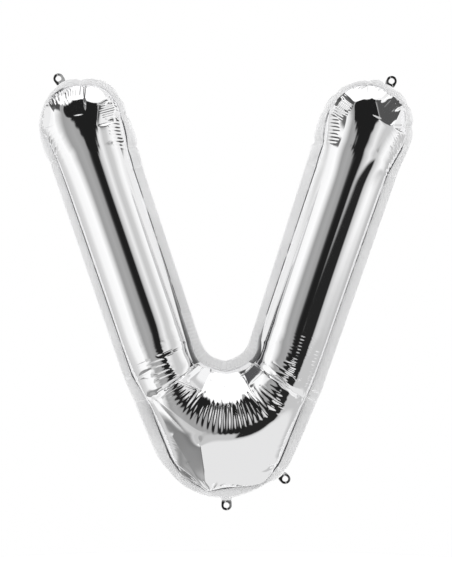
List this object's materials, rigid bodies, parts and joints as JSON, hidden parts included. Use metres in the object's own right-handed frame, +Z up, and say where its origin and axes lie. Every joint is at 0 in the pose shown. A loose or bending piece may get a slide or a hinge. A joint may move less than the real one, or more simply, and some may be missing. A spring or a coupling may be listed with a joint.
{
  "type": "letter foil balloon",
  "caption": "Inflated silver foil balloon in the shape of a capital V, with a flat welded margin, ringed hanging tabs and a short filling neck.",
  "frame": {"origin": "middle of the letter's height and width, in the plane of the welded seam, where the air holds it", "axes": "+Z up the letter, the front faces -Y, +X to the letter's right as it is read"},
  "size_m": [0.7724, 0.1754, 0.9036],
  "materials": {
    "silver_film": "mirror-bright metallised film, drawn tight by the gas, creased at the puckers",
    "welded_film": "two films heat-sealed flat, a soft satin sheen with a fine pressed grain",
    "tab_film": "bright flat film round a punched hole"
  },
  "bodies": {
    "root": {"front_panel": "silver_film", "back_panel": "silver_film", "weld_margin": "welded_film", "filling_neck": "welded_film", "hang_tab_upper_left": "tab_film", "hang_tab_upper_right": "tab_film", "hang_tab_lower_right": "tab_film", "hang_tab_bottom": "tab_film"}
  },
  "joints": []
}
